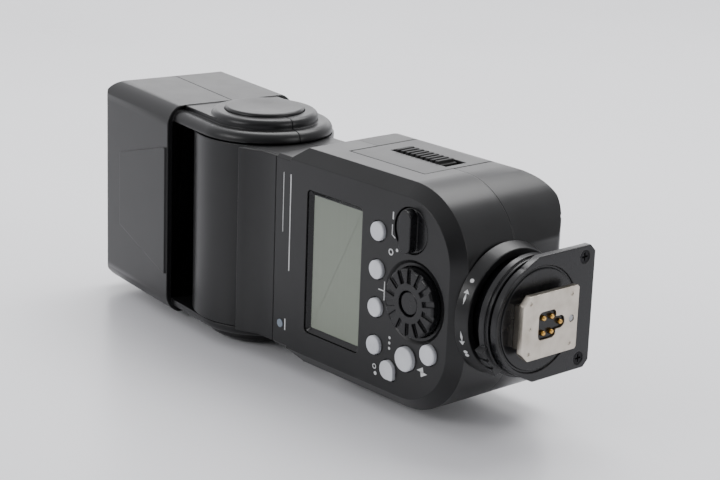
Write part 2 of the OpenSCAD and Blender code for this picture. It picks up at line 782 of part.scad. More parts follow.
// Turning power lever with a raised finger bar
module power_lever() {
    r = lever_l / 2;
    bar_w = 4.6;
    bar_h = 2.6;
    laid() color([0.12, 0.12, 0.12]) on_panel(lever_at) {
        translate([0, 0, -wall - gap - flange_t]) cylinder(r = r + flange_out, h = flange_t);
        translate([0, 0, -wall - gap - eps]) cylinder(r = r, h = wall + gap - 0.3);
        translate([0, 0, -0.35]) linear_extrude(bar_h + 0.35) {
            for (s = [-1, 1]) translate([s * (r - bar_w / 2 - 0.2), 0]) circle(r = bar_w / 2);
            translate([-r + bar_w / 2 + 0.2, -bar_w / 2]) square([2 * r - bar_w - 0.4, bar_w]);
        }
    }
}

// The neck in side view, as [y, height above the tilt axis]
module neck_side(i) {
    low = neck_z0 - tilt_z + i;
    circle(r = barrel_r - i);
    polygon([[panel_y + i, low], [neck_front - i, low], [neck_front - i, -20], [0, 0], [-barrel_r * 0.8, 0],
        [panel_y + i, -12]]);
}

neck_front = 11;
flange_front = 18;
neck_flange_t = 1.3;

// Extrudes a side view along X, w to each side
module across(w) {
    translate([-w, 0, tilt_z]) rotate([90, 0, 90]) linear_extrude(2 * w) children();
}

module neck_solid() {
    difference() {
        union() {
            across(neck_w / 2) neck_side(0);
            translate([0, 0, neck_z0]) linear_extrude(neck_flange_t)
                square_round(neck_w, -flange_front, flange_front, 4);
        }
        across(neck_w / 2 - 2.4) neck_side(wall);
        translate([0, 0, neck_z0 - 1]) cylinder(r = tube_r, h = wall + 2);
        translate([0, 0, tilt_z]) bar_x(bush_r, -neck_w, neck_w);
        block([-neck_w / 2 - 1, panel_y - 10, neck_z0 - 1],
            [neck_w / 2 + 1, panel_y + cover_t, neck_z0 + cover_h]);
    }
}

cover_t = 1.2;
cover_h = 14.6;

// A rectangle with round corners, between two depths
module square_round(w, y0, y1, r) {
    translate([-w / 2 + r, y0]) square([w - 2 * r, y1 - y0]);
    translate([-w / 2, y0 + r]) square([w, y1 - y0 - 2 * r]);
    for (s = [-1, 1], y = [y0 + r, y1 - r]) translate([s * (w / 2 - r), y]) circle(r = r);
}

module neck_rear_shell() {
    laid() color([0.085, 0.085, 0.09]) difference() {
        neck_solid();
        translate([-100, 0, 0]) cube([200, 100, 300]);
    }
}

module neck_front_shell() {
    laid() color([0.08, 0.08, 0.085]) difference() {
        neck_solid();
        translate([-100, -100, 0]) cube([200, 100, 300]);
    }
}

// The flat cover behind the neck, flush with the control panel and flared towards the barrel
module neck_cover() {
    laid() color([0.09, 0.09, 0.095]) translate([-neck_w / 2, 0, neck_z0]) rotate([90, 0, 90])
        linear_extrude(neck_w) polygon([[panel_y, 0], [panel_y + cover_t, 0], [panel_y + cover_t, cover_h],
            [panel_y - 3, cover_h], [panel_y - 2.2, cover_h - 2.4], [panel_y, cover_h - 7.5]]);
}

module swivel_tube() {
    flange_z = seam_z - bearing_h - 1.6;
    laid() color([0.6, 0.6, 0.6]) difference() {
        union() {
            translate([0, 0, flange_z]) cylinder(r = journal_r + 1.4, h = 1.2);
            translate([0, 0, flange_z]) cylinder(r = journal_r, h = neck_z0 - flange_z);
            translate([0, 0, neck_z0 + wall]) cylinder(r = tube_r + 1.8, h = 1.4);
            translate([0, 0, flange_z]) cylinder(r = tube_r, h = neck_z0 + wall + 1 - flange_z);
        }
        translate([0, 0, flange_z - 1]) cylinder(r = tube_r - 1.6, h = 20);
    }
}

module tilt_bushes() {
    laid() color([0.78, 0.65, 0.35]) translate([0, 0, tilt_z]) for (s = [-1, 1]) scale_x(s) difference() {
        bar_x(bush_r, neck_w / 2 - 2.4, neck_w / 2);
        bar_x(shaft_d / 2 + run, 0, 50);
    }
}

// Mirrors its children to the left flank when s is -1
module scale_x(s) {
    if (s < 0) mirror([1, 0, 0]) children();
    else children();
}

// Leaf spring that clicks on the notched disc of the tilt shaft
module tilt_click_spring() {
    laid() color([0.7, 0.7, 0.7]) translate([click_x, 0, tilt_z - click_r - gap]) {
        block([0, -8, -0.9], [5, 8, 0]);
        block([0, -8, low_click], [5, -7, 0]);
    }
}

click_x = 18;
click_r = 12;
low_click = neck_z0 + wall - tilt_z + click_r + gap;

module tilt_shaft() {
    notches = 24;
    head_laid() color([0.7, 0.7, 0.72]) translate([0, 0, tilt_z]) {
        bar_x(shaft_d / 2, -hub_w / 2 + 3, hub_w / 2 - 3);
        difference() {
            bar_x(click_r, click_x, click_x + 4);
            for (k = [0:notches - 1])
                rotate([360 * (k + 0.5) / notches, 0, 0]) translate([0, 0, click_r + 0.5])
                    bar_x(1.1, click_x - 1, click_x + 6);
        }
    }
}

// The head's outer form, i inside its surface: wider towards the lens, with rounded edges
module head_form(i) {
    lens_r = lens_edge_r;
    edge_r = 7;
    intersection() {
        translate([0, head_d / 2 - i, 0]) rotate([90, 0, 0]) linear_extrude(head_d - 2 * i) {
            polygon([[-head_root_w / 2 + i, head_z0 + i], [head_root_w / 2 - i, head_z0 + i],
                [head_w / 2 - i, head_top - lens_r], [-head_w / 2 + i, head_top - lens_r]]);
            translate([-head_w / 2 + lens_r, head_top - lens_r - 1])
                square([head_w - 2 * lens_r, lens_r + 1 - i]);
            for (s = [-1, 1]) translate([s * (head_w / 2 - lens_r), head_top - lens_r])
                circle(r = lens_r - i);
        }
        across_at(head_w, 0) {
            translate([-head_d / 2 + i, head_z0 + i]) square([head_d - 2 * i, head_l - 20.5 - end_r - i]);
            translate([-head_d / 2 + end_r, head_top - end_r - 1])
                square([head_d - 2 * end_r, end_r + 1 - i]);
            for (s = [-1, 1]) translate([s * (head_d / 2 - end_r), head_top - end_r]) circle(r = end_r - i);
        }
        translate([0, 0, head_z0]) linear_extrude(head_l)
            square_round(head_w - 2 * i, i - head_d / 2, head_d / 2 - i, edge_r - i);
    }
}

// One cheek: a round boss about the tilt axis on a roll with a full round edge, joined to the head's flank
module cheek() {
    roll_r = barrel_r - 0.5;
    boss_r = roll_r - 4.6;
    x0 = cheek_x;
    x1 = head_root_w / 2 - 1.6;
    x2 = hub_w / 2 - 1;
    edge = [for (a = [0:15:90]) [roll_r - 2.8 + 2.8 * cos(a), x1 - 2.8 + 2.8 * sin(a)]];
    rim = [for (a = [0:15:90]) [boss_r - 2 + 2 * cos(a), x2 - 2 + 2 * sin(a)]];
    rotate([0, 90, 0]) rotate_extrude($fn = 96)
        polygon(concat([[0, x0], [roll_r, x0]], edge, [[boss_r, x1]], rim, [[0, x2]]));
    linear_extrude(head_z0 - tilt_z + 4) for (s = [0, 1]) mirror([0, s])
        polygon(concat([[x0, 0], [x0, roll_r]], [for (p = edge) [p[1], p[0]]], [[x1, 0]]));
    block([x0, -boss_r, 0], [head_root_w / 2 - 0.2, boss_r, head_z0 - tilt_z + 4]);
}

module head_solid() {
    difference() {
        union() {
            head_form(0);
            translate([0, 0, tilt_z]) for (s = [-1, 1]) scale_x(s) cheek();
            relief();
        }
        difference() {
            head_form(wall);
            translate([0, 0, tilt_z]) bar_x(swing_r + wall, -cheek_x - wall, cheek_x + wall);
        }
        block([-frame_half_w, -frame_half_d, head_top - 6], [frame_half_w, frame_half_d, head_top + 1]);
        translate([0, 0, tilt_z]) bar_x(swing_r, -cheek_x, cheek_x);
        translate([0, 0, tilt_z]) bar_x(shaft_d / 2, -hub_w, hub_w);
        translate([0, 0, tilt_z]) for (s = [-1, 1]) scale_x(s)
            bar_x(hub_d / 2 + seat, hub_w / 2 - 3, hub_w);
    }
}

// The low raised field on the back of the head, narrower towards the lens
module relief() {
    translate([0, -head_d / 2 + 1, 0]) rotate([90, 0, 0]) linear_extrude(1 + relief_t)
        polygon([[-relief_w0, head_z0 + 0.6], [relief_w0, head_z0 + 0.6], [relief_w0, head_z0 + 2],
            [relief_w1, head_top - 13], [-relief_w1, head_top - 13], [-relief_w0, head_z0 + 2]]);
}

module head_rear_cover() {
    head_laid() color([0.085, 0.085, 0.09]) difference() {
        head_solid();
        translate([-100, 0, 0]) cube([200, 100, 300]);
    }
}

module head_front_cover() {
    head_laid() color([0.08, 0.08, 0.085]) difference() {
        head_solid();
        translate([-100, -100, 0]) cube([200, 100, 300]);
    }
}

// Caps over the ends of the tilt shaft, dished in the middle
module hub_caps() {
    r = hub_d / 2;
    dish = 0.5;
    head_laid() color([0.08, 0.08, 0.085]) translate([0, 0, tilt_z]) for (s = [-1, 1]) scale_x(s)
        rotate([0, 90, 0])
            rotate_extrude($fn = 96) polygon([[0, hub_w / 2 - 3], [r, hub_w / 2 - 3], [r, hub_w / 2 - 0.6],
            [r - 0.6, hub_w / 2], [r - 1.6, hub_w / 2], [r / 2, hub_w / 2 - dish * 0.75],
            [0, hub_w / 2 - dish]]);
}

module lens_frame() {
    z0 = head_top - 6;
    head_laid() color([0.05, 0.05, 0.05]) difference() {
        block([seat - frame_half_w, seat - frame_half_d, z0],
            [frame_half_w - seat, frame_half_d - seat, head_top - 0.6]);
        block([-lens_half_w + 1.5, lens_y - lens_half_d + 1.5, z0 - 1],
            [lens_half_w - 1.5, lens_y + lens_half_d - 1.5, head_top]);
        block([-lens_half_w, lens_y - lens_half_d, z0 - 1],
            [lens_half_w, lens_y + lens_half_d, head_top - lens_in]);
        block([-panel_half_w - gap, panel_slot_y - gap, z0 - 1],
            [panel_half_w + gap, panel_slot_y + panel_t + card_gap + card_t + gap, head_top]);
    }
}

panel_half_w = frame_half_w - 2;
panel_slot_y = -frame_half_d + 1.1;
panel_t = 1.2;
card_half_w = 22;
card_gap = 0.4;
card_t = 0.6;

// The lens has fine ribs on its inner face
module fresnel_lens() {
    z1 = head_top - lens_in;
    pitch = 3;
    head_laid() color([0.8, 0.85, 0.85]) difference() {
        block([-lens_half_w + seat, lens_y - lens_half_d + seat, z1 - 2.4],
            [lens_half_w - seat, lens_y + lens_half_d - seat, z1]);
        for (k = [-5:5]) translate([0, lens_y + k * pitch, z1 - 2.4]) rotate([45, 0, 0])
            cube([2 * lens_half_w - 2, 1.2, 1.2], center = true);
    }
}

module zoom_motor() {
    head_laid() color([0.6, 0.6, 0.6]) translate([rod_x, screw_y, motor_z])
        cylinder(r = motor_r, h = motor_l);
}

module guide_rods() {
    head_laid() color([0.75, 0.75, 0.75]) for (s = [-1, 1]) translate([s * rod_x, rod_y, rod_z])
        cylinder(r = rod_r, h = head_top - 6 - rod_z);
}

screw_z0 = motor_z + motor_l + gap;

module zoom_screw() {
    head_laid() color([0.75, 0.75, 0.75]) translate([rod_x, screw_y, screw_z0]) {
        cylinder(r = screw_r, h = head_top - 7 - screw_z0);
        cylinder(r = screw_r + 0.6, h = 0.6);
    }
}

// The carriage: reflector trough, flash tube in its rubber ends, and the lugs on rods and screw
module zoom_carriage() {
    h = reflector_h;
    w = reflector_w;
    mouth = 15.4;
    t = 0.8;
    z0 = xenon_z - 4;
    lug_z = screw_z0 + 1;
    lug_l = rod_x + 2 - w + 1;
    lug_h = 4;
    head_laid() color([0.85, 0.85, 0.87]) difference() {
        union() {
            across_at(w, z0) polygon([for (k = [-8:8]) [lens_y + k / 8 * mouth, h * k * k / 64]]);
            for (s = [-1, 1]) scale_x(s) translate([w - 1, 0, lug_z]) cube([lug_l, rod_y + 3, lug_h]);
            translate([w - 1, screw_y - 3, lug_z]) cube([lug_l, rod_y - screw_y, lug_h]);
        }
        translate([0, lens_y, xenon_z]) bar_x(xenon_r + seat, -w - 9, w + 9);
        translate([0, lens_y, xenon_z]) for (s = [-1, 1]) scale_x(s) bar_x(boot_r + seat, w, w + 9);
        across_at(w - t, z0 + t * 1.6)
            polygon([for (k = [-8:8]) [lens_y + k / 8 * (mouth - t), h * k * k / 64]]);
        for (s = [-1, 1]) translate([s * rod_x, rod_y, lug_z - 1]) cylinder(r = rod_r + run, h = lug_h + 2);
        translate([rod_x, screw_y, lug_z - 1]) cylinder(r = screw_r + run, h = lug_h + 2);
    }
}

reflector_w = 21.4;
xenon_r = 2.2;
boot_r = 3;

module across_at(w, z) {
    translate([-w, 0, z]) rotate([90, 0, 90]) linear_extrude(2 * w) children();
}

// Xenon tube across the reflector, in a rubber boot at each end
module flash_tube() {
    head_laid() color([0.9, 0.92, 0.95]) translate([0, lens_y, xenon_z]) {
        bar_x(xenon_r, -reflector_w - 2, reflector_w + 2);
        for (s = [-1, 1]) scale_x(s) bar_x(boot_r, reflector_w + seat, reflector_w + 3.2);
    }
}

// Wide-angle panel in its slot behind the lens, with a pull tab
module wide_panel() {
    head_laid() color([0.85, 0.88, 0.9]) {
        block([-panel_half_w, panel_slot_y, head_z0 + 12],
            [panel_half_w, panel_slot_y + panel_t, head_top - 1.2]);
        block([-5, panel_slot_y, head_top - 1.2 - eps], [5, panel_slot_y + panel_t, head_top - 0.1]);
    }
}

// White card in front of the wide-angle panel, in a slot of its own
module bounce_card() {
    y = panel_slot_y + panel_t + card_gap;
    head_laid() color([0.9, 0.9, 0.9]) {
        block([-card_half_w, y, head_z0 + 12], [card_half_w, y + card_t, head_top - 1.2]);
        block([-7, y, head_top - 1.2 - eps], [7, y + card_t, head_top - 0.1]);
    }
}

rear_cover();
front_cover();
battery_tray();
battery_cells();
tray_contacts();
display_window();
display_module();
link_lamp();
main_board();
tact_switches();
dial_encoder();
inverter_board();
main_capacitor();
swivel_bearing();
af_window();
sync_socket();
power_socket();
case_screws();
foot_base();
foot_collar();
foot_plate();
contact_block();
foot_screws();
battery_door();
door_contacts();
door_pin();
door_latch();
socket_cover();
lock_ring();
lock_pin();
contact_pins();
power_lever();
select_dial();
set_button();
function_button_1();
function_button_2();
function_button_3();
function_button_4();
wireless_button();
pilot_button();
mode_button();
neck_rear_shell();
neck_front_shell();
neck_cover();
swivel_tube();
tilt_bushes();
tilt_click_spring();
head_rear_cover();
head_front_cover();
hub_caps();
tilt_shaft();
lens_frame();
fresnel_lens();
zoom_motor();
guide_rods();
zoom_screw();
zoom_carriage();
flash_tube();
wide_panel();
bounce_card();
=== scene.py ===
"""Shoe-mount speedlight flash, lying on its left flank."""
import math

import bpy
from mathutils import Matrix, Vector


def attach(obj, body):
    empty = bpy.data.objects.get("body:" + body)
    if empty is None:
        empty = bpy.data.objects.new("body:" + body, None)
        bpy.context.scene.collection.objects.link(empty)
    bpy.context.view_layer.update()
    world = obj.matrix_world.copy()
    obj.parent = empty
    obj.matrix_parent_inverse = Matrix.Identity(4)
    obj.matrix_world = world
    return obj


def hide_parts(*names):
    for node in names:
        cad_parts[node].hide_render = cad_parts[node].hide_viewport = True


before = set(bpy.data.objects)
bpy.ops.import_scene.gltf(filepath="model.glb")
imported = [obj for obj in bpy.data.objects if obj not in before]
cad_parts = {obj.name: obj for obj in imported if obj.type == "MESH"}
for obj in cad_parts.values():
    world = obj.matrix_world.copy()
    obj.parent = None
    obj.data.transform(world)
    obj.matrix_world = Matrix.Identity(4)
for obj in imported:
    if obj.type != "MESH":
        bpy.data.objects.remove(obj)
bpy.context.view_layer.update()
MM = 0.001
# Radius that every moulded or stamped edge has, too small to model on each
EDGE = 0.35 * MM

# The standing flash's own axes: x across it, y to its front, z from the foot plate's face to the head.
# It lies on its left flank, and the shared frame has its origin under the middle of its box.
TILT_Z = 126.0  # height of the tilt axis
HEAD_L = 66.0  # from the tilt axis to the lens end
HEAD_HALF_D = 23.5  # half the head's depth
HEAD_EDGE = 3.5  # rounding of the head's edges at the lens end
BARREL_R = 22.0  # radius of the neck's barrel
PIN_OUT = 0.6  # how far the contact pins stand out of the foot
HALF_W = 37.0  # half the width across the two hub caps
LEAN = math.radians(8)  # how far the head leans forward
ALONG = HEAD_L - HEAD_EDGE
ACROSS = HEAD_HALF_D - HEAD_EDGE
HEAD_UP = ALONG * math.cos(LEAN) + ACROSS * math.sin(LEAN) + HEAD_EDGE
HEAD_OUT = ACROSS * math.cos(LEAN) + ALONG * math.sin(LEAN) + HEAD_EDGE
MID_X = (TILT_Z + HEAD_UP - PIN_OUT) / 2
MID_Y = (HEAD_OUT - BARREL_R) / 2
LAID = Matrix(((0, 0, -1, MID_X), (0, 1, 0, -MID_Y), (1, 0, 0, HALF_W), (0, 0, 0, 1)))


def mm(x, y, z):
    return Vector((x, y, z)) * MM


# ---------------------------------------------------------------- materials

def linear(code):
    """The linear colour of an sRGB hex code."""
    parts = [int(code[i:i + 2], 16) / 255 for i in (1, 3, 5)]
    return tuple(c / 12.92 if c <= 0.04045 else ((c + 0.055) / 1.055) ** 2.4 for c in parts) + (1.0,)


def add_node(tree, kind, links=(), **settings):
    """Adds one node with its settings; links are (source socket, name of the input that it feeds)."""
    node = tree.nodes.new(kind)
    for name, value in settings.items():
        if name in node.inputs:
            node.inputs[name].default_value = value
        else:
            setattr(node, name, value)
    for source, name in links:
        tree.links.new(source, node.inputs[name])
    return node


def finish(name, colour, roughness, **more):
    """A new material: its tree, its shader and the Object coordinates that its patterns read."""
    material = bpy.data.materials.new(name)
    material.use_nodes = True
    tree = material.node_tree
    shader = tree.nodes["Principled BSDF"]
    shader.inputs["Base Color"].default_value = linear(colour)
    shader.inputs["Roughness"].default_value = roughness
    for key, value in more.items():
        shader.inputs[key.replace("_", " ")].default_value = value
    place = add_node(tree, "ShaderNodeTexCoord").outputs["Object"]
    return material, tree, shader, place


def mottled(tree, shader, place, low, high, grain_mm, rough=None):
    """Base colour that drifts between two tones over patches grain_mm wide, and roughness with it."""
    drift = add_node(tree, "ShaderNodeTexNoise", [(place, "Vector")], Scale=1000 / grain_mm, Detail=4.0)
    ramp = add_node(tree, "ShaderNodeValToRGB", [(drift.outputs["Fac"], "Fac")])
    ramp.color_ramp.elements[0].position = 0.3
    ramp.color_ramp.elements[0].color = linear(low)
    ramp.color_ramp.elements[1].position = 0.7
    ramp.color_ramp.elements[1].color = linear(high)
    tree.links.new(ramp.outputs["Color"], shader.inputs["Base Color"])
    if rough:
        spread = add_node(tree, "ShaderNodeMapRange", [(drift.outputs["Fac"], "Value")])
        spread.inputs["To Min"].default_value = rough[0]
        spread.inputs["To Max"].default_value = rough[1]
        tree.links.new(spread.outputs["Result"], shader.inputs["Roughness"])


def grained(tree, shader, place, grit_mm, height_mm, strength=0.4):
    """Fine relief of the mould's spark-eroded texture."""
    grit = add_node(tree, "ShaderNodeTexNoise", [(place, "Vector")], Scale=1000 / grit_mm, Detail=2.0)
    edge = add_node(tree, "ShaderNodeBevel", samples=6, Radius=EDGE)
    bump = add_node(tree, "ShaderNodeBump", [(grit.outputs["Fac"], "Height"), (edge.outputs[0], "Normal")],
                    Strength=strength, Distance=height_mm * MM)
    tree.links.new(bump.outputs["Normal"], shader.inputs["Normal"])


def moulded(name, low, high, rough, grit_mm=0.35, height_mm=0.02, strength=0.35):
    """Injection-moulded ABS or rubber: two close tones, a fine grain and a roughness that drifts."""
    material, tree, shader, place = finish(name, low, sum(rough) / 2, Specular_IOR_Level=0.36)
    mottled(tree, shader, place, low, high, 9, rough)
    grained(tree, shader, place, grit_mm, height_mm, strength)
    return material


def worked_metal(name, low, high, rough, scratch=(1, 1, 1), scratch_mm=0.3):
    """Plated or turned metal: fine marks along one way, and a tone that drifts."""
    material, tree, shader, place = finish(name, high, sum(rough) / 2, Metallic=1.0)
    mottled(tree, shader, place, low, high, 5, rough)
    stretch = add_node(tree, "ShaderNodeMapping", [(place, "Vector")])
    stretch.inputs["Scale"].default_value = scratch
    marks = add_node(tree, "ShaderNodeTexNoise", [(stretch.outputs["Vector"], "Vector")],
                     Scale=1000 / scratch_mm, Detail=3.0)
    edge = add_node(tree, "ShaderNodeBevel", samples=6, Radius=EDGE)
    bump = add_node(tree, "ShaderNodeBump", [(marks.outputs["Fac"], "Height"), (edge.outputs[0], "Normal")],
                    Strength=0.15, Distance=0.01 * MM)
    tree.links.new(bump.outputs["Normal"], shader.inputs["Normal"])
    return material


# Charcoal ABS from a spark-eroded mould: soft broad highlights with a faint sparkle of grain
casing = moulded("charcoal_abs", "#121213", "#171718", (0.28, 0.38), strength=0.5)
# The same ABS from a smoother mould, on the control panel
panel = moulded("satin_abs", "#111112", "#161617", (0.26, 0.34), height_mm=0.012)
# Black ABS from a polished mould, on the dial, the lever and the ring
polished = moulded("polished_black_abs", "#101012", "#141416", (0.22, 0.32), 0.6, 0.006)
# Silicone rubber of the function keys: light grey, soft highlight, dust in its tone
key_rubber = moulded("grey_silicone_rubber", "#c6c8cd", "#d6d8dc", (0.5, 0.62), 0.5, 0.01)
# Black rubber: flap and latch
soft_rubber = moulded("black_rubber", "#161616", "#1d1d1d", (0.55, 0.7), 0.4, 0.02)
# Nickel-plated steel foot: warm grey mirror broken up by fine marks across it
nickel = worked_metal("nickel_plated_steel", "#b4aca0", "#cfc8bd", (0.24, 0.36), (1, 0.06, 1))
# Blackened steel of the small screws
black_steel = worked_metal("black_oxide_steel", "#1c1c1d", "#28282a", (0.3, 0.42))
# Bright steel of pins, shafts and rods, with fine turning marks
steel = worked_metal("turned_steel", "#8f9092", "#a9aaac", (0.25, 0.4), (0.1, 1, 1))
# Gold flash on the sprung contacts
gold = worked_metal("gold_flashed_brass", "#c99a4e", "#e2b96c", (0.2, 0.3))
# Porous bronze of the plain bearings
bronze = worked_metal("sintered_bronze", "#8a6a3c", "#a68450", (0.35, 0.5))
# Solder mask on glass-fibre board: dark green with a soft shine
board = moulded("green_solder_mask", "#0c3d22", "#124d2c", (0.25, 0.35))
# Shrink film on the cells: near black, smooth
jacket = moulded("printed_cell_jacket", "#22242a", "#2b2d34", (0.25, 0.35))
# Shrink sleeve of the flash capacitor: deep blue
sleeve = moulded("blue_shrink_sleeve", "#0f1840", "#141f50", (0.25, 0.35))
# Matt white sheet of the bounce card
card = moulded("white_polypropylene", "#d9d9d6", "#e6e6e3", (0.5, 0.6))
# Dark red filter window, glossy, nearly black from outside
red = moulded("deep_red_acrylic", "#170204", "#220306", (0.08, 0.14), height_mm=0.002)
# Bright anodised aluminium of the reflector: a clear mirror with a slight haze
reflector = worked_metal("bright_anodised_aluminium", "#d7d8da", "#e6e7e9", (0.1, 0.16))
# Smoked acrylic light pipe beside the display: blue-grey and unlit
lamp = moulded("smoked_light_pipe", "#6d7884", "#7d8894", (0.2, 0.3))


def clear(name, colour, roughness, ior):
    """Clear moulding: what's behind it shows through, with a haze that drifts."""
    material, tree, shader, place = finish(name, colour, roughness, Transmission_Weight=1.0, IOR=ior)
    drift = add_node(tree, "ShaderNodeTexNoise", [(place, "Vector")], Scale=80.0)
    spread = add_node(tree, "ShaderNodeMapRange", [(drift.outputs["Fac"], "Value")])
    spread.inputs["To Min"].default_value = roughness * 0.7
    spread.inputs["To Max"].default_value = roughness * 1.3
    tree.links.new(spread.outputs["Result"], shader.inputs["Roughness"])
    return material


# Clear acrylic of the lens, whose ribs break up what is behind it
acrylic = clear("clear_acrylic", "#eef2f2", 0.08, 1.49)
# Frosted acrylic of the wide-angle panel: milky
frosted = clear("frosted_acrylic", "#e9eeee", 0.35, 1.49)
# Quartz glass of the flash tube
quartz = clear("quartz_glass", "#eef4f8", 0.03, 1.46)


def display_glass():
    """Reflective LCD under its window: grey-green, with painted shading that makes it lighter on the side
    nearest the table and darker away from it, and a fine dot lattice.
    """
    material, tree, shader, place = finish("lcd_glass", "#6f7768", 0.24, Coat_Weight=0.6,
                                           Coat_Roughness=0.06)
    split = add_node(tree, "ShaderNodeSeparateXYZ", [(place, "Vector")])
    # Painted shading: the glass's tone runs from lighter at 15 mm height to darker at 60 mm
    painted_shade_slope = add_node(tree, "ShaderNodeMapRange", [(split.outputs["Z"], "Value")])
    painted_shade_slope.inputs["From Min"].default_value = 15 * MM
    painted_shade_slope.inputs["From Max"].default_value = 60 * MM
    ramp = add_node(tree, "ShaderNodeValToRGB", [(painted_shade_slope.outputs["Result"], "Fac")])
    ramp.color_ramp.elements[0].color = linear("#747c6d")
    ramp.color_ramp.elements[1].color = linear("#666e60")
    lattice = add_node(tree, "ShaderNodeTexBrick", [(place, "Vector")], Scale=1000 / 1.2)
    mix = add_node(tree, "ShaderNodeMix", [(ramp.outputs["Color"], 6)], data_type="RGBA",
                   blend_type="MULTIPLY")
    mix.inputs[0].default_value = 0.04
    tree.links.new(lattice.outputs["Color"], mix.inputs[7])
    tree.links.new(mix.outputs[2], shader.inputs["Base Color"])
    return material


lcd = display_glass()
# Pad-printed pale ink of the signs: matt, very thin
ink = moulded("pale_screen_ink", "#c9cacb", "#dcdddd", (0.45, 0.55), height_mm=0.004)

DRESS = {
    casing: ["front_cover", "battery_door", "neck_rear_shell", "neck_front_shell", "neck_cover",
             "head_rear_cover", "head_front_cover", "hub_caps", "foot_collar"],
    panel: ["rear_cover"],
    polished: ["tact_switches", "dial_encoder", "battery_tray", "power_socket", "contact_block",
               "power_lever", "select_dial", "set_button", "lock_ring", "foot_base", "lens_frame"],
    key_rubber: ["function_button_1", "function_button_2", "function_button_3", "function_button_4",
                 "wireless_button", "pilot_button", "mode_button"],
    soft_rubber: ["door_latch", "socket_cover"],
    nickel: ["foot_plate", "tray_contacts", "door_contacts", "sync_socket"],
    black_steel: ["case_screws", "foot_screws"],
    steel: ["door_pin", "lock_pin", "swivel_tube", "tilt_click_spring",
            "tilt_shaft", "zoom_motor", "guide_rods", "zoom_screw"],
    gold: ["contact_pins"],
    bronze: ["swivel_bearing", "tilt_bushes"],
    board: ["main_board", "inverter_board"],
    jacket: ["battery_cells"],
    sleeve: ["main_capacitor"],
    card: ["bounce_card"],
    red: ["af_window"],
    reflector: ["zoom_carriage"],
    lamp: ["link_lamp"],
    acrylic: ["fresnel_lens"],
    frosted: ["wide_panel"],
    quartz: ["flash_tube"],
    lcd: ["display_window", "display_module"],
}
for material, nodes in DRESS.items():
    for name in nodes:
        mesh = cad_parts[name].data
        mesh.materials.clear()
        mesh.materials.append(material)


# ---------------------------------------------------------------- modelling by hand

def alone(piece):
    bpy.ops.object.select_all(action="DESELECT")
    piece.select_set(True)
    bpy.context.view_layer.objects.active = piece


def pick_faces(piece, wanted):
    """Selects, in edit mode, the faces whose centre and normal pass the test."""
    bpy.ops.mesh.select_all(action="DESELECT")
    bpy.ops.object.mode_set(mode="OBJECT")
    for face in piece.data.polygons:
        face.select = wanted(face.center / MM, face.normal)
    bpy.ops.object.mode_set(mode="EDIT")
    bpy.ops.mesh.select_mode(type="FACE")


def settle(piece, name, body, slot, *replaced):
    """Names a piece, puts its place into its mesh and says which body it rides on."""
    piece.name = name
    alone(piece)
    bpy.ops.object.transform_apply(location=True, rotation=True, scale=True)
    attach(piece, body)
    if replaced:
        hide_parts(*replaced)


# Angles in degrees: above SHARP an edge is broken, and below FLAT two triangles are one face
SHARP = 32
FLAT = 0.6
# Small stamped or ribbed pieces have finer edges
FINE_EDGES = ("select_dial", "foot_plate", "door_latch", "lock_ring")
LARGE_COVERS = ("front_cover", "head_rear_cover", "head_front_cover")


def softened(node, body, slot, width, weld):
    """A moulded piece with its sharp edges broken, which also leaves a fine groove at each joint line.

    weld is the length in mm below which an edge is closed up first, so that breaking its neighbours
    can't throw a spike.
    """
    piece = bpy.data.objects.new(node + "_moulding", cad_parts[node].data.copy())
    bpy.context.scene.collection.objects.link(piece)
    alone(piece)
    bpy.ops.object.mode_set(mode="EDIT")
    bpy.ops.mesh.select_all(action="SELECT")
    bpy.ops.mesh.remove_doubles(threshold=weld * MM)
    bpy.ops.mesh.dissolve_limited(angle_limit=math.radians(FLAT))
    bpy.ops.object.mode_set(mode="OBJECT")
    edges = piece.modifiers.new("edges", "BEVEL")
    edges.width = width * MM
    edges.segments = 2
    edges.limit_method = "ANGLE"
    edges.angle_limit = math.radians(SHARP)
    edges.use_clamp_overlap = False
    bpy.ops.object.modifier_apply(modifier=edges.name)
    bpy.ops.object.shade_smooth_by_angle(angle=math.radians(40))
    normals = piece.modifiers.new("normals", "WEIGHTED_NORMAL")
    normals.keep_sharp = True
    bpy.ops.object.modifier_apply(modifier=normals.name)
    settle(piece, node + "_moulding", body, slot, node)


for node, body, slot in [
        ("front_cover", "body", "casing_plastic"),
        ("battery_door", "door", "casing_plastic"), ("foot_base", "body", "gloss_black"),
        ("foot_collar", "body", "casing_plastic"), ("lock_ring", "lock", "soft_black"),
        ("select_dial", "dial", "gloss_black"), ("power_lever", "lever", "gloss_black"),
        ("neck_rear_shell", "neck", "casing_plastic"), ("neck_front_shell", "neck", "casing_plastic"),
        ("neck_cover", "neck", "casing_plastic"), ("head_rear_cover", "head", "casing_plastic"),
        ("head_front_cover", "head", "casing_plastic"), ("hub_caps", "head", "casing_plastic"),
        ("door_latch", "latch", "soft_black"), ("foot_plate", "body", "nickel")]:
    softened(node, body, slot, width=0.12 if node in FINE_EDGES else 0.25,
             weld=0.1 if node in LARGE_COVERS else 0.02)


# ---------------------------------------------------------------- display and printed marks

PANEL_Y = -18.0
# Thickness of the printed ink, and how far off the surface it is laid
INK_T = 0.02
INK_OFF = 0.025
# Turns a flat drawn on the X-Y plane so that it faces out of the control panel, x across and y up
ON_PANEL = Matrix.Rotation(math.radians(90), 4, "X")


def laid_on_panel(x, z, out=0.0):
    """Where a piece drawn flat goes on the control panel, out mm in front of its face."""
    return (Matrix.Scale(MM, 4) @ LAID @ Matrix.Translation((x, PANEL_Y - out, z)) @ ON_PANEL
            @ Matrix.Scale(1 / MM, 4))


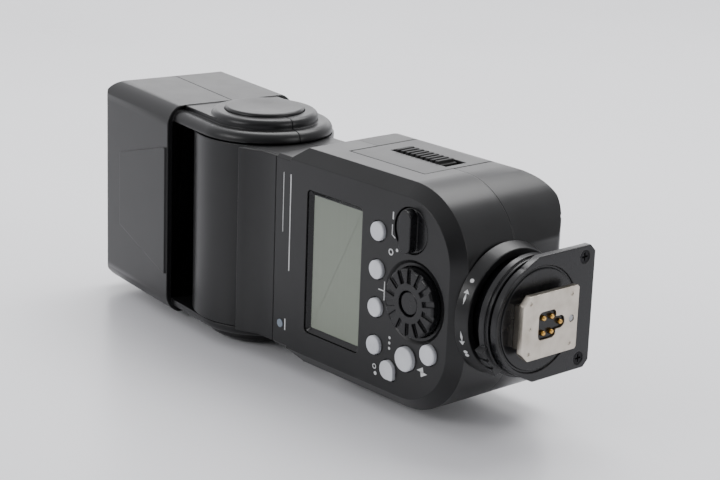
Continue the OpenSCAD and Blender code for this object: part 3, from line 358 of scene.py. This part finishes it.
def display_pane():
    """The display under its window: a black bevelled border with round corners, and the glass inside."""
    width, height, middle_z, below_face = 44.2, 24.4, 70.6, 0.45
    depth, border, border_drop, step = 1.5, 1.3, 1.0, 0.25
    glass_area = 5e-4
    bpy.ops.mesh.primitive_plane_add(size=MM)
    pane = bpy.context.object
    pane.scale = (width, height, 1)
    bpy.ops.object.transform_apply(location=False, rotation=False, scale=True)
    bpy.ops.object.mode_set(mode="EDIT")
    bpy.ops.mesh.select_all(action="SELECT")
    bpy.ops.mesh.bevel(offset=1.5 * MM, segments=5, affect="VERTICES")
    bpy.ops.mesh.select_all(action="SELECT")
    bpy.ops.mesh.extrude_region_move(TRANSFORM_OT_translate={"value": (0, 0, -depth * MM)})
    pick_faces(pane, lambda centre, normal: abs(normal.z) > 0.9 and centre.z > -0.1)
    bpy.ops.mesh.inset(thickness=border * MM)
    bpy.ops.transform.translate(value=(0, 0, -border_drop * MM))
    bpy.ops.mesh.inset(thickness=step * MM)
    bpy.ops.mesh.select_all(action="SELECT")
    bpy.ops.mesh.normals_make_consistent(inside=False)
    bpy.ops.object.mode_set(mode="OBJECT")
    pane.data.materials.append(polished)
    pane.data.materials.append(lcd)
    for face in pane.data.polygons:
        sunk = face.normal.z > 0.9 and face.center.z < -0.9 * border_drop * MM
        face.material_index = 1 if sunk and face.area > glass_area else 0
    pane.matrix_world = laid_on_panel(0, middle_z, -below_face)
    settle(pane, "display_pane", "body", "display_glass")


def put_on_panel(mark, size, x, z, turn):
    """Stretches a flat mark, turns it and puts it on the control panel's face."""
    mark.scale = (*size, 1)
    bpy.ops.object.transform_apply(location=False, rotation=False, scale=True)
    mark.matrix_world = laid_on_panel(x, z, INK_OFF) @ Matrix.Rotation(math.radians(turn), 4, "Z")
    return mark


def bar(x, z, length, width, turn=0.0):
    """A printed line on the control panel."""
    bpy.ops.mesh.primitive_plane_add(size=MM)
    return put_on_panel(bpy.context.object, (length, width), x, z, turn)


def spot(x, z, radius, sides=20, stretch=1.0, turn=0.0):
    """A printed dot, or with three sides an arrowhead."""
    bpy.ops.mesh.primitive_circle_add(vertices=sides, radius=radius * MM, fill_type="NGON")
    return put_on_panel(bpy.context.object, (1, stretch), x, z, turn)


def ring_mark(x, z, radius, width):
    dot = spot(x, z, radius, 24)
    bpy.ops.object.mode_set(mode="EDIT")
    bpy.ops.mesh.select_all(action="SELECT")
    bpy.ops.mesh.inset(thickness=width * MM)
    bpy.ops.mesh.delete(type="FACE")
    bpy.ops.object.mode_set(mode="OBJECT")
    return dot


def printed(marks, name):
    """Joins printed marks into one thin film of ink."""
    bpy.ops.object.select_all(action="DESELECT")
    for mark in marks:
        mark.select_set(True)
    bpy.context.view_layer.objects.active = marks[0]
    bpy.ops.object.transform_apply(location=True, rotation=True, scale=True)
    bpy.ops.object.join()
    film = bpy.context.object
    bpy.ops.object.mode_set(mode="EDIT")
    bpy.ops.mesh.select_all(action="SELECT")
    bpy.ops.mesh.extrude_region_shrink_fatten(TRANSFORM_OT_shrink_fatten={"value": INK_T * MM})
    bpy.ops.mesh.select_all(action="SELECT")
    bpy.ops.mesh.normals_make_consistent(inside=False)
    bpy.ops.object.mode_set(mode="OBJECT")
    film.data.materials.append(ink)
    settle(film, name, "body", "white_card")


def panel_marks():
    """Plain signs: on and off, a tie between two keys, a flash bolt, and rules beside the display."""
    marks = [bar(23.0, 45.4, 2.2, 0.5), bar(18.8, 45.6, 3.2, 0.35), bar(17.0, 44.9, 1.5, 0.35, 60),
             ring_mark(12.2, 45.8, 1.0, 0.4), spot(13.3, 43.3, 0.5),
             bar(0.0, 47.9, 5.6, 0.35), bar(0.0, 49.2, 0.35, 2.4),
             spot(-13.2, 44.9, 0.45), spot(-14.8, 44.9, 0.45), spot(-16.4, 44.9, 0.45),
             spot(-19.0, 31.4, 1.0, 3, 1.8, 12), spot(-20.0, 30.6, 1.0, 3, 1.8, 192),
             spot(-25.6, 50.4, 0.6), ring_mark(-23.6, 50.9, 0.8, 0.3), bar(-22.4, 91.8, 3.6, 0.5),
             bar(10.0, 90.6, 30, 0.45), bar(15.8, 93.9, 18.5, 0.3)]
    printed(marks, "panel_marks")


def collar_marks():
    """Two arrows on the collar's cone, one for each way the lock ring turns, with dots beside them."""
    flare = math.atan2(1.3, 4)  # the cone widens by 1.3 mm over its 4 mm
    cone_r, cone_z = 18.72, 16
    on_cone = Matrix(((0, math.sin(flare), math.cos(flare), 0), (1, 0, 0, 0),
                      (0, math.cos(flare), -math.sin(flare), 0), (0, 0, 0, 1)))
    marks = []
    # Angle about the foot's axis, number of corners, half length, half height, shift along the ring
    for angle, sides, across, along, shift in (
            (-70, 4, 1.8, 0.35, 0), (-70, 3, 0.8, 1.0, 1.8),
            (-104, 4, 1.8, 0.35, 0), (-104, 3, 0.8, 1.0, -1.8),
            (-54, 20, 0.6, 0.6, 0), (-120, 20, 0.6, 0.6, 0), (-124, 20, 0.6, 0.6, 0)):
        bpy.ops.mesh.primitive_circle_add(vertices=sides, radius=MM, fill_type="NGON")
        mark = bpy.context.object
        if sides == 3:
            mark.rotation_euler.z = math.radians(-90 if shift > 0 else 90)
        bpy.ops.object.transform_apply(location=False, rotation=True, scale=False)
        mark.scale = (across, along, 1)
        bpy.ops.object.transform_apply(location=False, rotation=False, scale=True)
        mark.matrix_world = (Matrix.Scale(MM, 4) @ LAID @ Matrix.Rotation(math.radians(angle), 4, "Z")
                             @ Matrix.Translation((cone_r, shift, cone_z)) @ on_cone
                             @ Matrix.Scale(1 / MM, 4))
        marks.append(mark)
    printed(marks, "collar_marks")


display_pane()
panel_marks()
collar_marks()


# ---------------------------------------------------------------- stage

def place_camera():
    data = bpy.data.cameras.new("camera")
    data.lens = 97
    data.sensor_width = 36
    data.dof.use_dof = False
    camera = bpy.data.objects.new("camera", data)
    bpy.context.scene.collection.objects.link(camera)
    camera.location = mm(434.49, -380.20, 208.4)
    camera.rotation_euler = [math.radians(turn) for turn in (73.4098, -2.0094, 48.6031)]
    bpy.context.scene.camera = camera


def soft_light(name, place, target, size, watts, colour=(1, 1, 1)):
    data = bpy.data.lights.new(name, "AREA")
    data.shape = "RECTANGLE"
    data.size, data.size_y = size
    data.energy = watts
    data.color = colour
    light = bpy.data.objects.new(name, data)
    bpy.context.scene.collection.objects.link(light)
    light.location = place
    light.rotation_euler = (Vector(target) - Vector(place)).to_track_quat("-Z", "Y").to_euler()


def make_floor():
    """A white acrylic table: one flat plane, far wider than the flash."""
    bpy.ops.mesh.primitive_plane_add(size=8, location=(-1.0, 1.0, -0.0002))
    floor = bpy.context.object
    floor.name = "floor"
    bpy.ops.object.transform_apply(location=True, rotation=True, scale=True)
    material, tree, shader, place = finish("white_acrylic_table", "#e9e9ec", 0.28)
    mottled(tree, shader, place, "#e7e7ea", "#ececef", 200, (0.24, 0.34))
    floor.data.materials.append(material)


def light_scene():
    world = bpy.data.worlds.new("studio")
    bpy.context.scene.world = world
    world.use_nodes = True
    back = world.node_tree.nodes["Background"]
    back.inputs["Color"].default_value = linear("#dedee1")
    # The studio is bright behind the flash and to its left, and darker on the side of the foot
    look = add_node(world.node_tree, "ShaderNodeTexCoord").outputs["Generated"]
    side = add_node(world.node_tree, "ShaderNodeVectorMath", [(look, 0)], operation="DOT_PRODUCT")
    side.inputs[1].default_value = (-0.75, 0.45, 0.48)
    glow = add_node(world.node_tree, "ShaderNodeMapRange", [(side.outputs["Value"], "Value")])
    glow.inputs["From Min"].default_value = -0.6
    glow.inputs["From Max"].default_value = 0.9
    glow.inputs["To Min"].default_value = 0.3
    glow.inputs["To Max"].default_value = 1.75
    world.node_tree.links.new(glow.outputs["Result"], back.inputs["Strength"])
    soft_light("top_box", (-0.25, 0.45, 0.9), (0, 0, 0.03), (0.9, 0.6), 10)
    soft_light("panel_box", (-0.2, -0.9, 0.5), (0, 0, 0.03), (0.5, 0.3), 3)
    soft_light("foot_box", (0.9, 0.25, 0.35), (0.05, 0, 0.03), (0.4, 0.5), 2)
    soft_light("back_strip", (-0.8, 0.75, 0.32), (0, 0, 0.05), (1.2, 0.25), 1.5)


place_camera()
make_floor()
light_scene()
